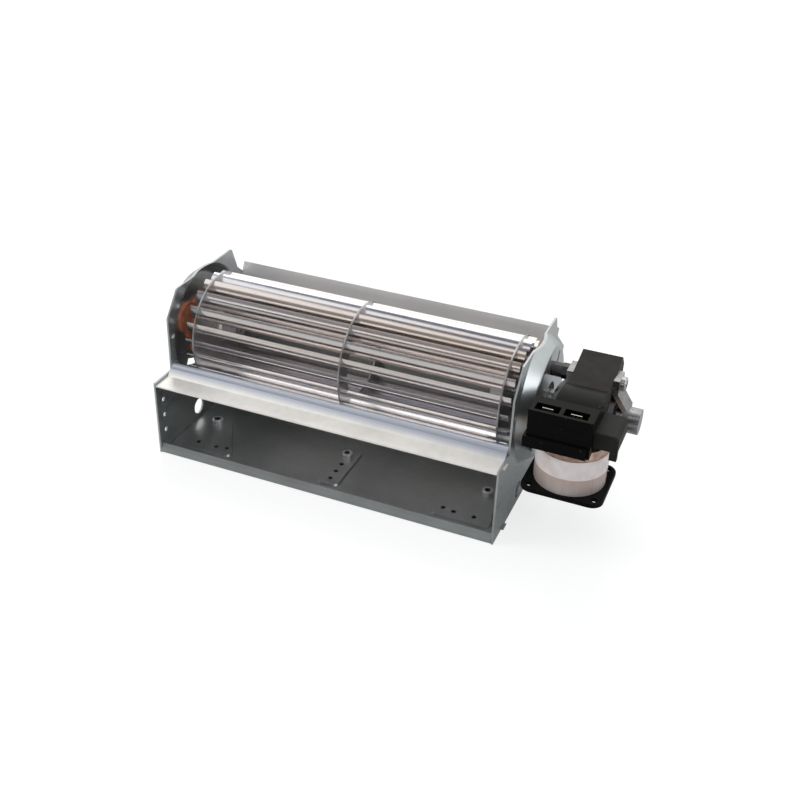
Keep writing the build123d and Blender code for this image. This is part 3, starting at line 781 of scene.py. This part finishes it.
@dataclass
class Impeller:
    """Bladed drum: twenty strips through three rings, with its hubs and shafts."""

    axis_height: float = 0.0545
    blade_count: int = 20
    tip_angle: float = 10.0
    stake_radius: float = 0.0287
    stake_size: Point = (0.0005, 0.0009, 0.0007)
    stake_bevel: float = 0.00015
    bevel_steps: int = 2
    ring_half: float = 0.0004
    ring_places: tuple[tuple[str, float], ...] = (
        ("left", -0.085), ("middle", 0.0), ("right", 0.085),
    )
    strip: BrightStrip = BrightStrip(
        "blade_aluminium", (0.84, 0.84, 0.89), (0.86, 0.76, 0.68), 0.20
    )
    # Rings and stakes painted a darker copy of the blades' aluminium: painted shade that tones down
    # their bright edges
    ring: BrightStrip = BrightStrip("ring_aluminium", (0.46, 0.46, 0.47), (0.42, 0.41, 0.40), 0.34)
    hub: PlatedMetal = PlatedMetal("hub_aluminium", (0.66, 0.67, 0.68), 0.35)
    shaft: PlatedMetal = PlatedMetal("ground_shaft", (0.55, 0.55, 0.56), 0.22)
    rotor: PlatedMetal = PlatedMetal("rotor_steel", (0.24, 0.23, 0.22), 0.45)

    def build(self, dresser: Dresser) -> None:
        """Dress the drum and add the stakes that lock its blades.

        Args:
            dresser: What gives the nodes and the stakes their finishes.
        """
        blades = tuple(f"blade_{number:02d}" for number in range(1, self.blade_count + 1))
        dresser.dress(blades, self.strip)
        dresser.dress(("left_end_disc", "middle_ring", "right_end_disc"), self.ring)
        dresser.dress(("left_hub", "right_hub"), self.hub)
        dresser.dress(("left_stub_shaft", "motor_shaft"), self.shaft)
        dresser.dress(("rotor",), self.rotor)
        for where, x in self.ring_places:
            name = f"{where}_blade_stakes"
            dresser.add_piece(name, self.stakes(x), self.ring, "impeller")

    def stakes(self, x: float) -> bmesh.types.BMesh:
        """Small pinched lugs on both faces of a ring, one pair at each blade.

        Args:
            x: Middle of the ring along the fan.

        Returns:
            The lugs of one ring.
        """
        shape = bmesh.new()
        length, width, depth = self.stake_size
        for number in range(self.blade_count):
            turn = math.radians(self.tip_angle + 360.0 / self.blade_count * number)
            for side in (-1.0, 1.0):
                centre = Vector((x + side * (self.ring_half + length / 2), 0.0, self.stake_radius))
                place = (
                    Matrix.Translation((0.0, 0.0, self.axis_height))
                    @ Matrix.Rotation(math.pi / 2 - turn, 4, "X").inverted()
                    @ Matrix.Translation(centre)
                    @ Matrix.Diagonal((length, width, depth, 1.0))
                )
                made = bmesh.ops.create_cube(shape, size=1.0, matrix=place)
                edges = {edge: None for corner in made["verts"] for edge in corner.link_edges}
                bmesh.ops.bevel(
                    shape, geom=list(edges), offset=self.stake_bevel,
                    segments=self.bevel_steps, affect="EDGES",
                )
        return shape


@dataclass
class BearingSeat:
    """Lobed holder of orange silicone in the left dish, and the three bearings."""

    silicone: CastRubber = CastRubber("orange_silicone", (0.80, 0.29, 0.17))
    bronze: PlatedMetal = PlatedMetal("oiled_bronze", (0.45, 0.30, 0.16), 0.4)

    def build(self, dresser: Dresser) -> None:
        """Dress the holder and all three bearings."""
        dresser.dress(("bearing_holder",), self.silicone)
        dresser.dress(("left_bearing", "inner_motor_bearing", "outer_motor_bearing"), self.bronze)


@dataclass
class MotorFrame:
    """Lamination stack between two cast bridges, on two long screws."""

    stack: StackedSheets = StackedSheets("varnished_laminations", (0.015, 0.0125, 0.011))
    bridge: PlatedMetal = PlatedMetal(
        "cast_bridge", (0.36, 0.36, 0.36), 0.27, pitting_mm=0.9, pitting_depth_mm=0.04
    )
    screw: PlatedMetal = PlatedMetal("long_screw_zinc", (0.50, 0.50, 0.49), 0.28, turned_mm=0.7)
    # Zinc nuts, dish nuts and spacers painted nearly black: painted shade, far darker than zinc
    # itself
    nut: PlatedMetal = PlatedMetal("nut_zinc", (0.10, 0.10, 0.097), 0.38)
    copper: PlatedMetal = PlatedMetal("shading_copper", (0.60, 0.28, 0.17), 0.35)

    def build(self, dresser: Dresser) -> None:
        """Dress the frame of the motor.

        Args:
            dresser: What gives the nodes their finishes.
        """
        dresser.dress(("lamination_stack", "core_limb"), self.stack)
        dresser.dress(("inner_bearing_bridge", "outer_bearing_bridge"), self.bridge)
        for kind, finish in (
            ("motor_screw", self.screw), ("motor_nut", self.nut), ("dish_nut", self.nut),
            ("spacer", self.nut), ("shading_ring", self.copper),
        ):
            dresser.dress((f"{kind}_upper", f"{kind}_lower"), finish)


@dataclass
class Coil:
    """Black bobbin with its winding, tape, bare label, terminals and guard."""

    winding: EnamelledWire = EnamelledWire("enamelled_copper", (0.74, 0.50, 0.40))
    # Tape greyer at its foot and paler at its top: painted shade and light
    tape: FilmTape = FilmTape(
        "film_tape", low=(0.34, 0.32, 0.31), middle=(0.44, 0.33, 0.29), high=(0.54, 0.47, 0.45),
        low_z=0.036, middle_z=0.0445, high_z=0.055,
    )
    label: BareLabel = BareLabel("bare_label", (0.72, 0.66, 0.645), (0.56, 0.48, 0.455))
    moulding: MouldedPlastic = MouldedPlastic(
        "black_moulding", (0.002, 0.0021, 0.002), 0.32, specular=0.06, dust_share=0.02
    )
    guard: MouldedPlastic = MouldedPlastic(
        "grey_guard", (0.013, 0.013, 0.011), 0.50, specular=0.15, dust_share=0.02
    )
    spade: PlatedMetal = PlatedMetal("tinned_spade", (0.72, 0.70, 0.64), 0.25)
    tip_places: tuple[tuple[str, float], ...] = (("left", 0.1127), ("right", 0.1261))
    tip_depth_place: float = -0.0463
    tip_foot: float = 0.0764
    tip_size: Point = (0.0063, 0.0008, 0.0027)
    tip_taper: float = 0.0012

    def build(self, dresser: Dresser) -> None:
        """Dress the coil and give its terminals their tapered tips.

        Args:
            dresser: What gives the nodes and the tips their finishes.
        """
        dresser.dress(("coil_winding",), self.winding)
        dresser.dress(("coil_tape",), self.tape)
        dresser.dress(("coil_label",), self.label)
        dresser.dress(("coil_bobbin",), self.moulding)
        dresser.dress(("terminal_guard",), self.guard)
        dresser.dress(("left_spade_terminal", "right_spade_terminal"), self.spade)
        for where, x in self.tip_places:
            name = f"{where}_spade_tip"
            dresser.add_piece(name, self.tip(x), self.spade, "housing")

    def tip(self, x: float) -> bmesh.types.BMesh:
        """Tapered end of a flat terminal, narrower and half as thick at its top.

        Args:
            x: Middle of the terminal along the fan.

        Returns:
            The tip's shape.
        """
        shape = bmesh.new()
        width, thickness, height = self.tip_size
        middle = self.tip_foot + height / 2
        place = (
            Matrix.Translation((x, self.tip_depth_place, middle))
            @ Matrix.Diagonal((width, thickness, height, 1.0))
        )
        made = bmesh.ops.create_cube(shape, size=1.0, matrix=place)
        for corner in made["verts"]:
            if corner.co.z > middle:
                corner.co.x += math.copysign(self.tip_taper / 2, x - corner.co.x)
                corner.co.y += math.copysign(thickness / 4, self.tip_depth_place - corner.co.y)
        return shape


@dataclass
class PhotoCamera:
    """Camera that sees the fan as the photograph does."""

    place: Point = (0.207189, -0.466569, 0.343271)
    right: Point = (0.922457, 0.384975, 0.029461)
    up: Point = (-0.225352, 0.474874, 0.850712)
    lens_mm: float = 49.868
    sensor_mm: float = 36.0
    nearest: float = 0.01
    farthest: float = 50.0

    def build(self) -> None:
        """Create the camera and make it the scene's."""
        data = bpy.data.cameras.new("photo_camera")
        data.lens = self.lens_mm
        data.sensor_width = self.sensor_mm
        data.clip_start = self.nearest
        data.clip_end = self.farthest
        camera = bpy.data.objects.new("photo_camera", data)
        back = Vector(self.right).cross(Vector(self.up))
        turn = Matrix((self.right, self.up, back)).transposed().to_4x4()
        camera.matrix_world = Matrix.Translation(self.place) @ turn
        bpy.context.scene.collection.objects.link(camera)
        bpy.context.scene.camera = camera


@dataclass(frozen=True)
class Lamp:
    """Soft square lamp that points at the fan, seen in polished metal only where mirrored."""

    name: str
    place: Point
    watts: float
    size: float
    colour: Colour = (1.0, 1.0, 1.0)
    mirrored: bool = True

    def build(self, target: Vector) -> None:
        """Create the lamp.

        Args:
            target: Point that it shines at.
        """
        data = bpy.data.lights.new(self.name, "AREA")
        data.energy = self.watts
        data.size = self.size
        data.color = self.colour
        lamp = bpy.data.objects.new(self.name, data)
        lamp.location = self.place
        lamp.rotation_euler = (target - Vector(self.place)).to_track_quat("-Z", "Y").to_euler()
        lamp.visible_glossy = self.mirrored
        bpy.context.scene.collection.objects.link(lamp)


def flat_sheet(name: str, material: bpy.types.Material, size: float = 1.0) -> bpy.types.Object:
    """Flat square sheet of the studio, about the origin.

    Args:
        name: Name of the sheet.
        material: Its material.
        size: Length of its sides.

    Returns:
        The sheet.
    """
    shape = bmesh.new()
    bmesh.ops.create_grid(shape, x_segments=1, y_segments=1, size=size / 2)
    mesh = bpy.data.meshes.new(name)
    shape.to_mesh(mesh)
    shape.free()
    mesh.materials.append(material)
    sheet = bpy.data.objects.new(name, mesh)
    bpy.context.scene.collection.objects.link(sheet)
    return sheet


@dataclass(frozen=True)
class Card:
    """Studio card that only polished surfaces mirror, to give metal its tones."""

    name: str
    place: Point
    facing: Point
    width: float
    height: float
    colour: Colour

    def glow(self) -> bpy.types.Material:
        """Even glow of the card's colour.

        Returns:
            Its material.
        """
        material = bpy.data.materials.new(self.name)
        material.use_nodes = True
        tree = material.node_tree
        tree.nodes.clear()
        glow = tree.nodes.new("ShaderNodeEmission")
        glow.inputs["Color"].default_value = (*self.colour, 1.0)
        output = tree.nodes.new("ShaderNodeOutputMaterial")
        tree.links.new(glow.outputs["Emission"], output.inputs["Surface"])
        return material

    def build(self) -> None:
        """Create the card."""
        card = flat_sheet(self.name, self.glow())
        card.matrix_world = (
            Matrix.Translation(self.place)
            @ Vector(self.facing).to_track_quat("Z", "Y").to_matrix().to_4x4()
            @ Matrix.Diagonal((self.width, self.height, 1.0, 1.0))
        )
        card.visible_camera = False
        card.visible_diffuse = False
        card.visible_transmission = False
        card.visible_volume_scatter = False
        card.visible_shadow = False
        card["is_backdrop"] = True


@dataclass
class Studio:
    """Pale floor, white surroundings, soft lamps, cards for the metal to mirror, and a dark sheet
    of painted shadow under the fan.

    Colours named seen are for the camera's rays, and those named mirrored for polished metal.
    """

    floor_size: float = 12.0
    floor_gap: float = 0.0001
    floor_colour: Colour = (0.80, 0.80, 0.80)
    seen_floor: Colour = (0.36, 0.36, 0.36)
    seen_glow: Colour = (0.72, 0.72, 0.72)
    mirrored_floor: Colour = (0.52, 0.52, 0.52)
    mirrored_glow: Colour = (0.04, 0.04, 0.04)
    # Dark sheet under the fan: painted shadow, seen through the floor sheet's holes
    shadow_sheet_colour: Colour = (0.03, 0.032, 0.03)
    shadow_sheet_size: Point = (0.176, 0.046, 1.0)
    shadow_sheet_place: Point = (0.0, -0.026, -0.00005)
    ambient: Colour = (0.62, 0.64, 0.66)
    target: Point = (0.02, 0.0, 0.045)
    lamps: tuple[Lamp, ...] = (
        Lamp("key_lamp", (-1.25, -0.65, 1.0), 8.0, 0.75, (1.0, 0.985, 0.97), mirrored=False),
        Lamp("back_lamp", (-0.35, 0.95, 1.15), 8.0, 0.8, (1.0, 0.98, 0.95), mirrored=False),
        Lamp("side_lamp", (1.25, -0.35, 0.75), 2.5, 0.7, (0.97, 0.98, 1.0)),
    )
    cards: tuple[Card, ...] = (
        Card(
            "overhead_card", (-0.35, -0.13, 1.45), facing=(0.1, 0.1, -1.0),
            width=2.6, height=0.52, colour=(0.10, 0.115, 0.165),
        ),
        Card(
            "front_card", (-0.3, -1.75, 0.05), facing=(0.1, 1.0, 0.0),
            width=4.8, height=0.7, colour=(0.06, 0.053, 0.05),
        ),
        Card(
            "strip_card", (-0.3, -1.75, 0.55), facing=(0.1, 1.0, -0.3),
            width=4.8, height=0.31, colour=(1.20, 1.17, 1.15),
        ),
        Card(
            "rear_card", (-0.6, 1.5, 1.0), facing=(0.35, -0.8, -0.5),
            width=2.6, height=0.5, colour=(1.5, 1.47, 1.38),
        ),
        Card(
            "high_rear_card", (-0.35, 0.55, 1.45), facing=(0.1, -0.3, -1.0),
            width=2.6, height=0.6, colour=(2.1, 2.06, 2.0),
        ),
        Card(
            "upper_front_card", (-0.3, -1.45, 1.05), facing=(0.1, 1.0, -0.6),
            width=4.8, height=0.85, colour=(0.20, 0.19, 0.20),
        ),
    )

    def build(self) -> None:
        """Build the world, the floor, the dark sheet of painted shadow, the lamps and the cards."""
        self.build_world()
        self.build_floor()
        self.build_shadow_sheet()
        for lamp in self.lamps:
            lamp.build(Vector(self.target))
        for card in self.cards:
            card.build()

    @staticmethod
    def masks(tree: bpy.types.NodeTree) -> tuple[Socket, Socket]:
        """Masks of the rays that see the surroundings.

        Args:
            tree: Node tree that gets the masks.

        Returns:
            A mask of camera rays, and one of glossy and transmission rays.
        """
        rays = tree.nodes.new("ShaderNodeLightPath")
        larger = tree.nodes.new("ShaderNodeMath")
        larger.operation = "MAXIMUM"
        tree.links.new(rays.outputs["Is Glossy Ray"], larger.inputs[0])
        tree.links.new(rays.outputs["Is Transmission Ray"], larger.inputs[1])
        return rays.outputs["Is Camera Ray"], larger.outputs[0]

    @staticmethod
    def mixed(
        tree: bpy.types.NodeTree,
        masks: tuple[Socket, Socket],
        plain: Colour,
        seen: Colour,
        mirrored: Colour,
    ) -> Socket:
        """Colour that differs for light, for the camera and for mirrors.

        Args:
            tree: Node tree that gets the mix.
            masks: Masks of camera rays and of mirrored rays.
            plain: Colour for all other rays.
            seen: Colour for camera rays.
            mirrored: Colour for glossy and transmission rays.

        Returns:
            The mixed colour.
        """
        colour = None
        for mask, value in zip(masks, (seen, mirrored)):
            mix = tree.nodes.new("ShaderNodeMix")
            mix.data_type = "RGBA"
            if colour is None:
                mix.inputs[MIX_FIRST].default_value = (*plain, 1.0)
            else:
                tree.links.new(colour, mix.inputs[MIX_FIRST])
            mix.inputs[MIX_SECOND].default_value = (*value, 1.0)
            tree.links.new(mask, mix.inputs[MIX_FACTOR])
            colour = mix.outputs[MIX_RESULT]
        return colour

    def build_world(self) -> None:
        """White surroundings where they are seen or mirrored, softer where they light."""
        world = bpy.data.worlds.new("studio_world")
        bpy.context.scene.world = world
        world.use_nodes = True
        tree = world.node_tree
        background = tree.nodes["Background"]
        white = (1.0, 1.0, 1.0)
        tone = self.mixed(tree, self.masks(tree), self.ambient, white, white)
        tree.links.new(tone, background.inputs["Color"])
        background.inputs["Strength"].default_value = 1.0

    def floor_material(self) -> bpy.types.Material:
        """Plain floor colour, with a glow that makes it look white.

        Returns:
            The floor's material.
        """
        material = bpy.data.materials.new("studio_floor")
        material.use_nodes = True
        tree = material.node_tree
        tree.nodes.clear()
        masks = self.masks(tree)
        diffuse = tree.nodes.new("ShaderNodeBsdfDiffuse")
        tone = self.mixed(tree, masks, self.floor_colour, self.seen_floor, self.mirrored_floor)
        tree.links.new(tone, diffuse.inputs["Color"])
        glow = tree.nodes.new("ShaderNodeEmission")
        no_glow = (0.0, 0.0, 0.0)
        level = self.mixed(tree, masks, no_glow, self.seen_glow, self.mirrored_glow)
        tree.links.new(level, glow.inputs["Color"])
        both = tree.nodes.new("ShaderNodeAddShader")
        output = tree.nodes.new("ShaderNodeOutputMaterial")
        tree.links.new(diffuse.outputs[0], both.inputs[0])
        tree.links.new(glow.outputs[0], both.inputs[1])
        tree.links.new(both.outputs[0], output.inputs["Surface"])
        return material

    def build_floor(self) -> None:
        """Pale floor just below the fan, which keeps the fan's shadow."""
        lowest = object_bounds()[0].z
        floor = flat_sheet("studio_floor", self.floor_material(), self.floor_size)
        floor.location.z = lowest - self.floor_gap
        floor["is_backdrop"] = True

    def build_shadow_sheet(self) -> None:
        """Dark sheet of painted shadow under the fan, so that the floor sheet's holes look into
        shade.
        """
        material = bpy.data.materials.new("painted_shadow_sheet")
        material.use_nodes = True
        shader = material.node_tree.nodes["Principled BSDF"]
        shader.inputs["Base Color"].default_value = (*self.shadow_sheet_colour, 1.0)
        shadow_sheet = flat_sheet("painted_shadow_sheet", material)
        shadow_sheet.location = self.shadow_sheet_place
        shadow_sheet.scale = self.shadow_sheet_size
        shadow_sheet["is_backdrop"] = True


def main() -> None:
    """Build the camera, dress the fan and light it."""
    logging.basicConfig(level=logging.INFO, format="%(name)s: %(message)s")
    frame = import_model()
    PhotoCamera().build()
    dresser = Dresser(frame)
    for assembly in (Housing(), Impeller(), BearingSeat(), MotorFrame(), Coil()):
        assembly.build(dresser)
        LOG.info("finished %s", type(assembly).__name__)
    Studio().build()
    scene = bpy.context.scene
    scene.view_settings.view_transform = "Standard"


if __name__ == "__main__":
    main()
